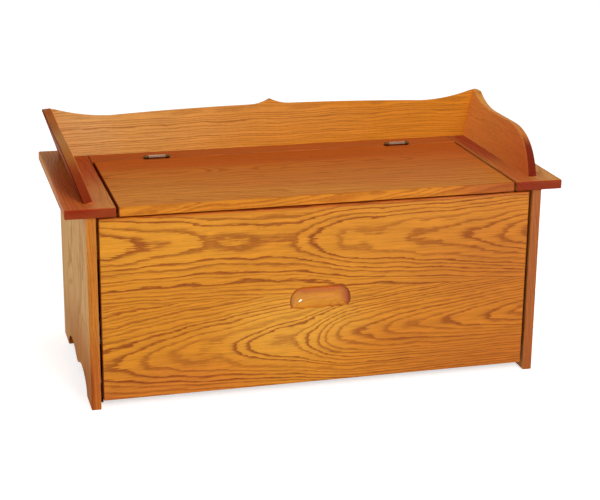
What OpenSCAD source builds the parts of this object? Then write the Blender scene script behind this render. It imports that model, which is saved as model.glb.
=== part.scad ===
// Oak shoe storage chest: a bench with a pull-out shoe drawer, a hinged lid over a shallow
// tray, and a low gallery of a raked backrest and two swept arms around the seat.
// X runs to the right, Y to the back and Z up. The origin is on the floor, midway.

/* [Case] */
// Width of the whole chest, across the two end boards of its top
top_w = 994; // [860:1:1140]
// Depth of a side panel, front edge to back edge
case_d = 439; // [425:1:480]
// Height of the seat, from the floor to the top of the lid
seat_h = 407; // [385:1:440]
// Thickness of the solid oak boards
board_t = 19; // [18:0.5:21]
// Thickness of the plywood back
back_t = 6; // [4:0.5:8]
// Thickness of the bottom board
bottom_t = 12; // [9:0.5:14]
// Clearance between the drawer front and the bottom board
bottom_gap = 3; // [1:0.5:6]
// Height of the underside of the bottom board above the floor
bottom_lift = 46; // [42:1:50]
// Depth of the grooves and rabbets cut in the boards
groove_d = 6; // [4:0.5:8]
// Radius of the eased edges
ease_r = 2.5; // [1:0.25:3]

/* [Feet] */
// Width of a foot along the bottom of a side panel
foot_w = 72; // [55:1:85]
// Height of the arch between the feet
arch_h = 36; // [24:1:39]
// Height of the underside of the drop at the middle of the arch
drop_h = 18; // [12:1:21]
// Length of the rise from a foot to the top of the arch
arch_rise = 72; // [50:1:80]
// Length of the flat at the top of the arch
arch_flat = 22; // [12:1:24]
// Height of the small step between the arch and the drop
step_h = 3; // [2:0.5:5]

/* [Top] */
// Width of an end board
end_board_w = 97; // [88:1:110]
// Overhang of an end board beyond the outside of its side panel
side_over = 40; // [28:1:48]
// Overhang of the top beyond the front of the case
front_over = 8; // [6:1:14]
// Overhang of the top beyond the back of the case
back_over = 16; // [6:1:24]
// Width of the hinge rail behind the lid
rail_w = 113.5; // [108:0.5:122]
// Gap between the lid and each end board
lid_gap = 4.5; // [2:0.5:6]
// Gap between the lid and the hinge rail
seam_gap = 3; // [2.8:0.1:3.2]
// Clearance under a closed lid
lid_rest = 0.3; // [0.2:0.1:0.6]

/* [Gallery] */
// Angle that the arms and the backrest lean outwards
lean = 18; // [8:0.5:19]
// Height of the gallery's back corners above the seat
corner_h = 98; // [85:1:110]
// Height of the backrest's crest near its middle
crest_h = 87; // [79:1:90]
// Height of the lowest stretches of the crest, towards its ends
crest_low_h = 79; // [70:1:81]
// Distance from the lowest place of the crest to the side panel
crest_low_inset = 93; // [70:1:180]
// Height that the pointed cusp stands above the crest
cusp_h = 11; // [6:1:16]
// Half width of the cusp
cusp_w = 44; // [30:1:60]
// Height of an arm along its level stretch
arm_h = 76; // [60:1:80]
// Length of the level top of an arm's corner, in front of the mitre
corner_flat = 5; // [2:1:12]
// Radius of an arm's round front
arm_front_r = 238; // [200:1:260]
// Radius of the sweep that lifts an arm to its corner
arm_sweep_r = 300; // [200:1:320]
// Height of the blunt toe at the front of an arm
toe_h = 4; // [2:0.5:6]
// Setback of an arm's toe from the front of its end board
arm_setback = 36; // [20:1:50]
// Setback of the backrest's front face from the rear of the top
rest_setback = 60; // [50:1:70]

/* [Hinges] */
// Length of a butt hinge
hinge_len = 52; // [48:1:76]
// Length of the middle knuckle
knuckle_len = 36; // [28:1:40]
// Outer radius of a knuckle
knuckle_r = 4; // [3.6:0.1:4.5]
// Radius of the hinge pin
pin_r = 1.5; // [1.2:0.1:1.8]
// Thickness of a hinge leaf
leaf_t = 1.8; // [1.5:0.1:2]
// Height of a hinge leaf below its pin
leaf_h = 17; // [15:0.5:18]
// Distance from an end of the lid to the middle of its hinge
hinge_inset = 132.5; // [90:0.5:200]
// Height of the pin's axis above the seat
pin_lift = 3.5; // [1.5:0.25:4]

/* [Drawer] */
// Gap at each side of the drawer front
front_gap = 5; // [3:0.5:7]
// Gap between the drawer front and the underside of the top
front_top_gap = 5; // [3:0.5:7]
// Height of the drawer front's bottom edge above the floor
front_lift = 16; // [12:1:30]
// Setback of the drawer front's face behind the side panels' edges
front_inset = 2; // [0:0.5:4]
// Thickness of the drawer box's sides, inner front and back
box_t = 12; // [10:0.5:14]
// Clearance between the bottom board and the drawer box
box_lift = 4; // [3:0.5:6]
// Clearance between the drawer box and the tray's cleats above it
box_head = 9; // [4:0.5:14]
// Clearance between the drawer box and the case back
box_tail = 14; // [6:1:30]
// Thickness of the drawer bottom
panel_t = 6; // [4:0.5:8]
// Height of the drawer bottom above the lower edge of the box
panel_lift = 12; // [8:1:20]

/* [Pull] */
// Width of the scooped pull
pull_w = 124; // [100:1:150]
// Height of the scooped pull
pull_h = 45; // [38:1:60]
// Distance of the pull's middle below the middle of the drawer front
pull_drop = 4; // [0:1:20]
// Depth of the scooped pull
pull_d = 12; // [8:0.5:13]
// Radius of the pull's upper corners, and width of the slope that falls from them
pull_top_r = 27; // [20:1:29]
// Radius of the pull's lower corners, and width of the slope that rises to them
pull_low_r = 12; // [6:0.5:14]

/* [Tray] */
// Depth of the tray under the lid
tray_depth = 64; // [50:1:66]
// Thickness of the tray bottom
tray_t = 6; // [4:0.5:8]
// Width and height of the cleats that carry the tray bottom
cleat_s = 19; // [15:0.5:21]
// Gap between the drawer front and the front rail
rail_gap = 1.5; // [1:0.25:3]
// Width of a batten under the lid
batten_w = 45; // [35:1:60]
// Length of a batten under the lid
batten_l = 250; // [200:1:255]
// Distance from an end of the lid to the middle of its batten
batten_end = 140.5; // [90:0.5:200]
// Distance from the front rail to a batten
batten_inset = 22; // [8:1:30]

/* [Slides] */
// Distance from the drawer front to the front end of a slide
slide_inset = 2; // [1:0.5:6]
// Height of a drawer slide
slide_h = 45; // [42:0.5:50]
// Thickness of a drawer slide, case side to drawer side
slide_w = 12.7; // [12:0.1:14]
// Thickness of the slide's sheet steel
sheet_t = 1.2; // [1:0.1:1.4]
// Radius of a bearing ball
ball_r = 1.5; // [1.3:0.1:1.6]
// Clearance between a ball and its races
ball_gap = 0.15; // [0.1:0.05:0.25]
// Distance between neighbouring balls
ball_pitch = 16; // [12:1:20]
// Length of a ball cage
cage_l = 160; // [120:1:180]
// Height of the slide's middle above the lower edge of the drawer box
slide_rise = 88; // [60:1:120]

/* [Fixings] */
// Radius of a dowel
dowel_r = 4; // [3:0.5:4]
// Length of a dowel
dowel_l = 30; // [26:1:34]
// Depth that a dowel enters the face of a board
dowel_bite = 12; // [8:1:14]
// Distance of the end dowels from the corners of the case
dowel_inset = 60; // [48:1:74]
// Distance of a rail's dowels from its edges
dowel_edge = 16; // [12:1:22]
// Radial clearance of dowels, screws and hinge pins in their holes
fit = 0.05; // [0.02:0.01:0.08]
// Clearance of panels in their grooves
groove_fit = 0.2; // [0.1:0.05:0.3]
// Radius of a wood screw's shank
screw_r = 1.7; // [1.4:0.1:2]
// Radius of a wood screw's head
screw_head_r = 3.4; // [3:0.1:3.6]
// Width of the cross recess in a screw's head
recess_w = 0.9; // [0.7:0.1:1.1]
// Depth of the cross recess in a screw's head
recess_deep = 1.3; // [1:0.1:1.6]
// Depth that a screw enters the board behind the piece it holds
screw_bite = 13; // [9:0.5:15]
// Depth that a gallery screw enters the gallery
gallery_bite = 26; // [18:1:32]
// Distance of the backrest's end screws from the side panels
gallery_inset = 98; // [60:1:140]
// Distance from an arm's toe to its first screw
arm_screw_first = 60; // [50:1:72]
// Distance between neighbouring screws of an arm
arm_screw_pitch = 105; // [80:1:120]
// Distance of a hinge screw from the end of its leaf
leaf_screw_inset = 9; // [7:0.5:11]

/* [Hidden] */
$fn = 48;
case_w = top_w - 2 * side_over;
top_l = front_over + case_d + back_over;
top_front = -top_l / 2;
top_back = top_l / 2;
face_y = top_front + front_over;
rear_y = face_y + case_d;
under_top = seat_h - board_t;
side_out = case_w / 2;
side_in = side_out - board_t;
end_in = side_out + side_over - end_board_w;
rail_front = top_back - rail_w;
pin_y = rail_front - seam_gap / 2;
pin_z = seat_h + pin_lift;
lid_back = rail_front - seam_gap;
lid_half = end_in - lid_gap;
hinge_x = lid_half - hinge_inset;
batten_x = lid_half - batten_end;
crest_low_x = side_in - crest_low_inset;
rest_y = top_back - rest_setback;
arm_tip = top_front + arm_setback;
back_front = rear_y - back_t;
front_face = face_y + front_inset;
box_front = front_face + board_t;
box_rear = rear_y - back_t - box_tail;
box_z = bottom_lift + bottom_t + box_lift;
box_half = side_in - slide_w;
box_in = box_half - box_t;
front_rail_y = box_front + rail_gap;
front_rail_back = front_rail_y + board_t;
tray_top = under_top - tray_depth;
tray_low = tray_top - tray_t;
cleat_low = tray_low - cleat_s;
box_h = cleat_low - box_head - box_z;
rear_rail_y = back_front - board_t;
batten_front = front_rail_back + batten_inset;
slide_z = box_z + slide_rise;
slide_y = box_front + slide_inset;
slide_l = box_rear - slide_y;
slide_rear = slide_y + slide_l;
leaf_gap = 0.6;
relief = 0.4;
eps = 0.01;
reach = 2 * case_w;
oak = [0.82, 0.52, 0.2];
oak_side = [0.76, 0.53, 0.33];
oak_red = [0.66, 0.33, 0.14];
inner_wood = [0.86, 0.7, 0.47];
antique_brass = [0.5, 0.38, 0.2];
zinc = [0.74, 0.75, 0.77];

// Shapes that the boards share

module round_rect(w, h, r) {
    translate([r, 0]) square([w - 2 * r, h]);
    translate([0, r]) square([w, h - 2 * r]);
    for (x = [r, w - r], y = [r, h - r])
        translate([x, y]) circle(r);
}

// A board from corner a to corner b with its edges eased all round
module eased_board(a, b, r = ease_r) {
    s = b - a;
    translate(a) intersection() {
        linear_extrude(s[2]) round_rect(s[0], s[1], r);
        translate([0, s[1], 0]) rotate([90, 0, 0]) linear_extrude(s[1]) round_rect(s[0], s[2], r);
        rotate([90, 0, 90]) linear_extrude(s[0]) round_rect(s[1], s[2], r);
    }
}

module block(a, b) {
    translate(a) cube(b - a);
}

module both_sides() {
    children();
    mirror([1, 0, 0]) children();
}

// A countersunk screw whose head is flush at the origin and whose point is up
module screw(length, extra = 0) {
    head = screw_head_r - screw_r;
    point = 1.2 * screw_r;
    difference() {
        union() {
            cylinder(r1 = screw_head_r + extra, r2 = screw_r + extra, h = head);
            cylinder(r = screw_r + extra, h = length - point + extra);
            translate([0, 0, length - point + extra])
                cylinder(r1 = screw_r + extra, r2 = screw_r / 6, h = point);
        }
        if (extra == 0) cross_recess();
    }
}

// The cross in a screw's head that a driver turns
module cross_recess() {
    half = screw_head_r * 0.5;
    for (turn = [0, 90])
        rotate([0, 0, turn]) block([-half, -recess_w / 2, -eps], [half, recess_w / 2, recess_deep]);
}

// Fixings, drawn once and also cut, a little larger, from the boards they hold

module dowel(extra) {
    cylinder(r = dowel_r + extra, h = dowel_l + 2 * extra, center = true);
}

// A dowel across the end of a rail, entering a side panel
module rail_dowel(y, z, extra) {
    both_sides() translate([side_in + dowel_bite - dowel_l / 2, y, z])
        rotate([0, 90, 0]) dowel(extra);
}

module case_dowel_set(extra = 0) {
    for (y = [face_y + dowel_inset, (face_y + rear_y) / 2, rear_y - dowel_inset])
        both_sides() translate([side_out - board_t / 2, y, under_top + dowel_bite - dowel_l / 2])
            dowel(extra);
    for (y = [rail_front + 2 * dowel_edge, top_back - 2 * dowel_edge])
        both_sides() translate([end_in, y, seat_h - board_t / 2])
            rotate([0, 90, 0]) dowel(extra);
    for (z = [tray_low - 2 * dowel_r, under_top - dowel_edge])
        rail_dowel(front_rail_y + board_t / 2, z, extra);
    for (z = [tray_top + dowel_edge, under_top - dowel_edge])
        rail_dowel(rear_rail_y + board_t / 2, z, extra);
}

module gallery_screw_set(extra = 0) {
    length = board_t + gallery_bite;
    drift = tan(lean) * gallery_bite / 3;
    for (i = [-2:2])
        translate([i * (side_in - gallery_inset) / 2, rest_y + board_t / 2 + drift, under_top])
            screw(length, extra);
    for (i = [0:2])
        both_sides()
            translate([side_in + board_t / 2 + drift, arm_tip + arm_screw_first + i * arm_screw_pitch,
                under_top]) screw(length, extra);
}

module cleat_screw_set(extra = 0) {
    inset = 2 * cleat_s;
    for (y = [front_rail_back + inset, (front_rail_back + rear_rail_y) / 2, rear_rail_y - inset])
        both_sides() translate([side_in - cleat_s, y, cleat_low + cleat_s / 2])
            rotate([0, 90, 0]) screw(cleat_s + screw_bite, extra);
}

module hinge_screw_set(extra = 0) {
    spread = hinge_len / 2 - leaf_screw_inset;
    for (i = [-1:1])
        both_sides()
            translate([hinge_x + i * spread, pin_y + leaf_gap / 2, pin_z - leaf_h * 0.62])
                rotate([-90, 0, 0]) screw(leaf_t + 1.5 * screw_bite, extra);
}

module lid_screw_set(extra = 0) {
    translate([0, 2 * pin_y, 0]) mirror([0, 1, 0]) hinge_screw_set(extra);
}

module batten_screw_set(extra = 0) {
    inset = batten_l / 10;
    for (y = [batten_front + inset, batten_front + batten_l / 2, batten_front + batten_l - inset])
        both_sides() translate([batten_x, y, under_top - board_t])
            screw(board_t + screw_bite, extra);
}

module front_screw_set(extra = 0) {
    for (x = [0.2, 0.8], z = [0.22, 0.78])
        both_sides() translate([x * box_in, box_front + box_t, box_z + z * box_h])
            rotate([90, 0, 0]) screw(box_t + screw_bite, extra);
}

// Slides: u runs from the side panel to the drawer, and v up from the slide's middle

module outer_screw_set(extra = 0) {
    inset = slide_l / 11;
    for (y = [slide_y + inset, slide_y + slide_l / 2, slide_rear - inset])
        both_sides() translate([side_in - sheet_t, y, slide_z])
            rotate([0, 90, 0]) screw(sheet_t + screw_bite, extra);
}

module inner_screw_set(extra = 0) {
    inset = slide_l / 7;
    for (y = [slide_y + inset, slide_y + slide_l / 2 + inset / 2, slide_rear - inset])
        both_sides() translate([box_half + sheet_t, y, slide_z])
            rotate([0, -90, 0]) screw(sheet_t + box_t * 0.75, extra);
}

// Side panels, with their feet, arch, grooves and rabbets

// Height of the quarter round at distance d in from the foot, up to the top of the arch
function rise_z(d) = arch_h * sqrt(1 - pow(1 - d / arch_rise, 2));

// Height of the drop's curve at distance d from the middle, out to the step at the knee
function drop_z(d, knee) = drop_h + (arch_h - step_h - drop_h) * (1 - cos(180 * d / knee)) / 2;

module arch_outline() {
    span = case_d / 2 - foot_w;
    knee = span - arch_rise - arch_flat;
    steps = 12;
    drop = [for (i = [0:steps]) let (d = knee * i / steps) [d, drop_z(d, knee)]];
    rise = [for (i = [0:steps]) let (d = arch_rise * (1 - sin(90 * i / steps)))
        [span - d, rise_z(d)]];
    half = concat(drop, [[knee, arch_h]], rise);
    left = [for (i = [len(half) - 1:-1:1]) [-half[i][0], half[i][1]]];
    polygon(concat(left, half, [[span, -arch_h], [-span, -arch_h]]));
}

module right_panel() {
    difference() {
        eased_board([side_in, face_y, 0], [side_out, rear_y, under_top], 1.5);
        translate([side_in - 1, (face_y + rear_y) / 2, 0])
            rotate([90, 0, 90]) linear_extrude(board_t + 2) arch_outline();
        block([side_in - 1, back_front, bottom_lift], [side_in + groove_d, rear_y + 1, seat_h]);
        block([side_in - 1, box_front + bottom_gap, bottom_lift],
            [side_in + groove_d, rear_y + 1, bottom_lift + bottom_t + groove_fit / 2]);
        case_dowel_set(fit);
        cleat_screw_set(fit);
        outer_screw_set(fit);
    }
}

module right_side_panel() {
    color(oak_side) right_panel();
}

module left_side_panel() {
    color(oak_side) mirror([1, 0, 0]) right_panel();
}

module case_back() {
    half = side_in + groove_d - groove_fit;
    color(inner_wood)
        block([-half, back_front, bottom_lift + bottom_t + groove_fit], [half, rear_y, under_top]);
}

module bottom_board() {
    half = side_in + groove_d - groove_fit;
    color(inner_wood)
        block([-half, box_front + bottom_gap + groove_fit, bottom_lift],
            [half, rear_y, bottom_lift + bottom_t]);
}

// Rails, tray and cleats under the lid

module front_rail() {
    color(oak_red) difference() {
        block([-side_in, front_rail_y, cleat_low], [side_in, front_rail_back, under_top - lid_rest]);
        block([-reach, front_rail_back - groove_d, tray_low],
            [reach, front_rail_back + 1, tray_top + groove_fit]);
        case_dowel_set(fit);
    }
}

module rear_rail() {
    color(oak_red) difference() {
        block([-side_in, rear_rail_y, tray_top], [side_in, back_front, under_top]);
        case_dowel_set(fit);
    }
}

module tray_bottom() {
    color(inner_wood)
        block([-side_in + groove_fit, front_rail_back - groove_d + groove_fit, tray_low],
            [side_in - groove_fit, back_front - groove_fit, tray_top]);
}

module tray_cleats() {
    color(inner_wood) both_sides() difference() {
        block([side_in - cleat_s, front_rail_back + groove_fit, cleat_low],
            [side_in, back_front - groove_fit, tray_low]);
        cleat_screw_set(fit);
    }
}

module cleat_screws() {
    color(zinc) cleat_screw_set();
}

// The top: two end boards, and the rail that carries the hinges and the backrest

module right_end() {
    difference() {
        eased_board([end_in, top_front, under_top], [side_out + side_over, top_back, seat_h]);
        case_dowel_set(fit);
        gallery_screw_set(fit);
    }
}

module right_end_board() {
    color(oak_red) right_end();
}

module left_end_board() {
    color(oak_red) mirror([1, 0, 0]) right_end();
}

// The mortise for a hinge's leaves and knuckles, centred on the pin
module hinge_mortise() {
    half = hinge_len / 2 + relief;
    deep = leaf_gap / 2 + leaf_t + fit;
    both_sides() translate([hinge_x, pin_y, pin_z]) {
        block([-half, -deep, -leaf_h - relief], [half, deep, 0]);
        translate([-half, 0, 0]) rotate([0, 90, 0]) cylinder(r = knuckle_r + relief, h = 2 * half);
    }
}

module hinge_rail() {
    color(oak_red) difference() {
        eased_board([-end_in, rail_front, under_top], [end_in, top_back, seat_h]);
        hinge_mortise();
        hinge_screw_set(fit);
        case_dowel_set(fit);
        gallery_screw_set(fit);
    }
}

module case_dowels() {
    color(inner_wood) case_dowel_set();
}

// The gallery: slabs that lean outwards and meet in upright mitres at the corners

// Everything behind the mitre plane of the right corner
module behind_mitre() {
    translate([side_in, rest_y, seat_h - board_t]) rotate([0, 0, 45])
        translate([-reach, 0, 0]) cube([2 * reach, reach, corner_h * 2]);
}

// Everything in front of the mitre plane of the right corner
module before_mitre() {
    translate([side_in, rest_y, seat_h - board_t]) rotate([0, 0, 45])
        translate([-reach, -reach, 0]) cube([2 * reach, reach, corner_h * 2]);
}

module below_seat() {
    block([-reach, -reach, seat_h - 2 * board_t], [reach, reach, seat_h]);
}

// Height of the crest above the seat at distance x from the middle
function crest_z(x) =
    let (end_x = side_in + corner_h * tan(lean))
    let (body = x < crest_low_x
        ? crest_h - (crest_h - crest_low_h) * pow(x / crest_low_x, 2)
        : crest_low_h + (corner_h - crest_low_h)
            * min(1, pow((x - crest_low_x) / (end_x - crest_low_x), 2)))
    let (cusp = x < cusp_w ? cusp_h * pow(1 - x / cusp_w, 2) : 0)
    body + cusp;

module backrest_outline() {
    end_x = side_in + corner_h * tan(lean);
    xs = concat([for (i = [0:8]) cusp_w * i / 8],
        [for (i = [1:10]) cusp_w + (crest_low_x - cusp_w) * i / 10],
        [for (i = [1:12]) crest_low_x + (end_x - crest_low_x) * i / 12],
        [side_out + 2 * corner_h * tan(lean)]);
    half = [for (x = xs) [x, crest_z(x) / cos(lean)]];
    left = [for (i = [len(half) - 1:-1:1]) [-half[i][0], half[i][1]]];
    far = xs[len(xs) - 1];
    polygon(concat(left, half, [[far, -board_t], [-far, -board_t]]));
}

module backrest() {
    color(oak) difference() {
        translate([0, rest_y, seat_h]) rotate([-lean, 0, 0])
            translate([0, board_t, 0]) rotate([90, 0, 0]) linear_extrude(board_t) backrest_outline();
        below_seat();
        both_sides() before_mitre_side();
        gallery_screw_set(fit);
    }
}

// The part of the space before the mitre that lies outside the right corner
module before_mitre_side() {
    intersection() {
        before_mitre();
        block([0, -reach, 0], [reach, reach, 2 * seat_h]);
    }
}

// An arm's outline: y along the arm from its toe, s up the slab
module arm_outline() {
    level = arm_h / cos(lean);
    peak = corner_h / cos(lean);
    toe = toe_h / cos(lean);
    run = sqrt(pow(arm_front_r, 2) - pow(arm_front_r - level + toe, 2));
    sweep_run = sqrt(pow(arm_sweep_r, 2) - pow(arm_sweep_r - peak + level, 2));
    corner_y = rest_y - arm_tip + corner_h * tan(lean);
    sweep_y = corner_y - corner_flat - sweep_run;
    far = corner_y + corner_h;
    intersection() {
        translate([run, level - arm_front_r]) circle(arm_front_r, $fn = 180);
        translate([0, -board_t]) square([run, level + board_t]);
    }
    translate([run - eps, -board_t]) square([sweep_y - run + 2 * eps, level + board_t]);
    difference() {
        translate([sweep_y, -board_t]) square([far - sweep_y, peak + board_t]);
        translate([sweep_y, level + arm_sweep_r]) circle(arm_sweep_r, $fn = 180);
    }
}

module right_arm_slab() {
    difference() {
        translate([side_in, arm_tip, seat_h]) rotate([0, lean, 0])
            rotate([90, 0, 90]) linear_extrude(board_t) arm_outline();
        below_seat();
        behind_mitre();
        gallery_screw_set(fit);
    }
}

module right_arm() {
    color(oak_red) right_arm_slab();
}

module left_arm() {
    color(oak_red) mirror([1, 0, 0]) right_arm_slab();
}

module gallery_screws() {
    color(zinc) gallery_screw_set();
}

// Butt hinges: end knuckles and leaf on the rail, middle knuckle and leaf on the lid

module knuckle(x0, x1, r) {
    translate([x0, 0, 0]) rotate([0, 90, 0]) cylinder(r = r, h = x1 - x0);
}

module rail_leaf() {
    half = hinge_len / 2;
    mid = knuckle_len / 2;
    difference() {
        union() {
            block([-half, leaf_gap / 2, -leaf_h], [half, leaf_gap / 2 + leaf_t, -1]);
            knuckle(-half, -mid, knuckle_r);
            knuckle(mid, half, knuckle_r);
        }
        knuckle(-mid, mid, knuckle_r + relief);
        knuckle(-hinge_len, hinge_len, pin_r + fit);
    }
}

module lid_leaf() {
    half = hinge_len / 2;
    mid = knuckle_len / 2 - relief / 2;
    difference() {
        union() {
            block([-half, -leaf_gap / 2 - leaf_t, -leaf_h], [half, -leaf_gap / 2, -1]);
            knuckle(-mid, mid, knuckle_r);
        }
        knuckle(-hinge_len, -mid, knuckle_r + relief);
        knuckle(mid, hinge_len, knuckle_r + relief);
        knuckle(-hinge_len, hinge_len, pin_r + fit);
    }
}

module placed_rail_leaf(side) {
    color(antique_brass) difference() {
        translate([side * hinge_x, pin_y, pin_z]) rail_leaf();
        hinge_screw_set(fit);
    }
}

module placed_lid_leaf(side) {
    color(antique_brass) difference() {
        translate([side * hinge_x, pin_y, pin_z]) lid_leaf();
        lid_screw_set(fit);
    }
}

// The pin has a small domed head at each end of the barrel
module placed_pin(side) {
    head_r = pin_r + 0.9;
    color(antique_brass) translate([side * hinge_x, pin_y, pin_z]) {
        knuckle(-hinge_len / 2 - fit, hinge_len / 2 + fit, pin_r);
        for (turn = [-90, 90])
            rotate([0, turn, 0]) translate([0, 0, hinge_len / 2 + fit]) intersection() {
                sphere(head_r);
                cylinder(r = head_r, h = head_r);
            }
    }
}

module left_hinge_rail_leaf() {
    placed_rail_leaf(-1);
}

module right_hinge_rail_leaf() {
    placed_rail_leaf(1);
}

module left_hinge_lid_leaf() {
    placed_lid_leaf(-1);
}

module right_hinge_lid_leaf() {
    placed_lid_leaf(1);
}

module left_hinge_pin() {
    placed_pin(-1);
}

module right_hinge_pin() {
    placed_pin(1);
}

module hinge_rail_screws() {
    color(antique_brass) hinge_screw_set();
}

module hinge_lid_screws() {
    color(antique_brass) lid_screw_set();
}

// The lid and the battens that keep it flat

module lid() {
    color(oak) difference() {
        eased_board([-lid_half, top_front, under_top], [lid_half, lid_back, seat_h]);
        hinge_mortise();
        lid_screw_set(fit);
        batten_screw_set(fit);
    }
}

module lid_battens() {
    color(oak) both_sides() difference() {
        eased_board([batten_x - batten_w / 2, batten_front, under_top - board_t],
            [batten_x + batten_w / 2, batten_front + batten_l, under_top]);
        batten_screw_set(fit);
    }
}

module lid_batten_screws() {
    color(zinc) batten_screw_set();
}

// The drawer: an oak front over a box of four boards and a bottom

pull_z = (front_lift + under_top - front_top_gap) / 2 - pull_drop;

// The scoop: a bowl with wide slopes under its upper corners and short ones at its lower edge
module pull_scoop() {
    module corner(x, z, r) {
        translate([x, front_face, pull_z + z]) scale([1, pull_d / r, 1]) sphere(r, $fn = 40);
    }
    hull() {
        for (side = [-1, 1]) {
            corner(side * (pull_w / 2 - pull_low_r), pull_low_r - pull_h / 2, pull_low_r);
            corner(side * (pull_w / 2 - pull_top_r), pull_h / 2 - pull_top_r, pull_top_r);
        }
    }
}

module drawer_front() {
    half = side_in - front_gap;
    color(oak) difference() {
        eased_board([-half, front_face, front_lift], [half, box_front, under_top - front_top_gap]);
        pull_scoop();
        front_screw_set(fit);
    }
}

// The slot that holds the drawer bottom, cut in the boards of the box
module bottom_slot() {
    edge = box_in + groove_d;
    low = box_z + panel_lift;
    block([-edge, box_front + box_t - groove_d, low],
        [edge, box_rear - box_t + groove_d, low + panel_t + groove_fit]);
}

module drawer_inner_front() {
    color(inner_wood) difference() {
        block([-box_in, box_front, box_z], [box_in, box_front + box_t, box_z + box_h]);
        bottom_slot();
        front_screw_set(fit);
    }
}

module drawer_back() {
    color(inner_wood) difference() {
        block([-box_in, box_rear - box_t, box_z], [box_in, box_rear, box_z + box_h]);
        bottom_slot();
    }
}

module right_box_side() {
    difference() {
        block([box_in, box_front, box_z], [box_half, box_rear, box_z + box_h]);
        bottom_slot();
        inner_screw_set(fit);
    }
}

module drawer_right_side() {
    color(inner_wood) right_box_side();
}

module drawer_left_side() {
    color(inner_wood) mirror([1, 0, 0]) right_box_side();
}

module drawer_bottom() {
    edge = box_in + groove_d - groove_fit;
    low = box_z + panel_lift;
    color(inner_wood)
        block([-edge, box_front + box_t - groove_d + groove_fit, low],
            [edge, box_rear - box_t + groove_d - groove_fit, low + panel_t]);
}

module drawer_front_screws() {
    color(zinc) front_screw_set();
}

// Telescoping slides: outer member on the case, middle member, and inner member on the drawer.
// Balls in cages run between the members, top and bottom.

ball_room = 2 * (ball_r + ball_gap);
outer_race = slide_h / 2 - sheet_t;
middle_top = outer_race - ball_room;
middle_race = middle_top - sheet_t;
inner_top = middle_race - ball_room;
middle_web = sheet_t + 0.8;
middle_reach = slide_w - sheet_t - 1.5;
inner_reach = middle_web + sheet_t + 1.2;
outer_reach = 9;
outer_ball_u = outer_reach / 2;
inner_ball_u = (inner_reach + middle_reach) / 2;

// A channel from u0 to u1 whose web is at u0 if web_first, else at u1
module channel(u0, u1, top, web_first, lip = 0) {
    web = web_first ? u0 : u1 - sheet_t;
    free = web_first ? u1 - sheet_t : u0;
    translate([web, -top]) square([sheet_t, 2 * top]);
    for (low = [-top, top - sheet_t])
        translate([u0, low]) square([u1 - u0, sheet_t]);
    if (lip > 0) {
        for (low = [-top, top - sheet_t - lip])
            translate([free, low]) square([sheet_t, sheet_t + lip]);
    }
}

// Extrudes a slide section along the drawer's travel, on the right side of the case
module along_slide() {
    translate([side_in, slide_rear, slide_z]) rotate([90, 0, 0]) mirror([1, 0, 0])
        linear_extrude(slide_l) children();
}

module outer_member() {
    difference() {
        along_slide() channel(0, outer_reach, slide_h / 2, true, ball_r);
        outer_screw_set(fit);
    }
}

module middle_member() {
    along_slide() channel(middle_web, middle_reach, middle_top, true);
}

module inner_member() {
    difference() {
        along_slide() channel(inner_reach, slide_w, inner_top, false);
        inner_screw_set(fit);
    }
}

// Two rows of balls, each row held in a strip
module ball_cage(u, top_race) {
    strip_w = 2.6 * ball_r;
    strip_t = ball_r / 2;
    start = slide_y + (slide_l - cage_l) / 2;
    last = floor(cage_l / ball_pitch) - 1;
    row = top_race - ball_room / 2;
    for (v = [-row, row]) {
        translate([side_in - u - strip_w / 2, start, slide_z + v - strip_t / 2])
            cube([strip_w, cage_l, strip_t]);
        for (i = [0:last])
            translate([side_in - u, start + ball_pitch / 2 + i * ball_pitch, slide_z + v])
                sphere(ball_r, $fn = 20);
    }
}

module right_slide_outer() {
    color(zinc) outer_member();
}

module left_slide_outer() {
    color(zinc) mirror([1, 0, 0]) outer_member();
}

module right_slide_middle() {
    color(zinc) middle_member();
}

module left_slide_middle() {
    color(zinc) mirror([1, 0, 0]) middle_member();
}

module right_slide_inner() {
    color(zinc) inner_member();
}

module left_slide_inner() {
    color(zinc) mirror([1, 0, 0]) inner_member();
}

module right_outer_ball_cage() {
    color(zinc) ball_cage(outer_ball_u, outer_race);
}

module left_outer_ball_cage() {
    color(zinc) mirror([1, 0, 0]) ball_cage(outer_ball_u, outer_race);
}

module right_inner_ball_cage() {
    color(zinc) ball_cage(inner_ball_u, middle_race);
}

module left_inner_ball_cage() {
    color(zinc) mirror([1, 0, 0]) ball_cage(inner_ball_u, middle_race);
}

module slide_outer_screws() {
    color(zinc) outer_screw_set();
}

module slide_inner_screws() {
    color(zinc) inner_screw_set();
}

left_side_panel();
right_side_panel();
case_back();
bottom_board();
front_rail();
rear_rail();
tray_bottom();
tray_cleats();
cleat_screws();
left_end_board();
right_end_board();
hinge_rail();
case_dowels();
backrest();
left_arm();
right_arm();
gallery_screws();
left_hinge_rail_leaf();
right_hinge_rail_leaf();
left_hinge_pin();
right_hinge_pin();
hinge_rail_screws();
lid();
lid_battens();
lid_batten_screws();
left_hinge_lid_leaf();
right_hinge_lid_leaf();
hinge_lid_screws();
drawer_front();
drawer_inner_front();
drawer_left_side();
drawer_right_side();
drawer_back();
drawer_bottom();
drawer_front_screws();
left_slide_outer();
right_slide_outer();
slide_outer_screws();
left_slide_middle();
right_slide_middle();
left_slide_inner();
right_slide_inner();
slide_inner_screws();
left_outer_ball_cage();
right_outer_ball_cage();
left_inner_ball_cage();
right_inner_ball_cage();
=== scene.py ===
from math import cos, pi, radians, sin, sqrt, tan

import bmesh
import bpy
from mathutils import Matrix, Vector


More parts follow.
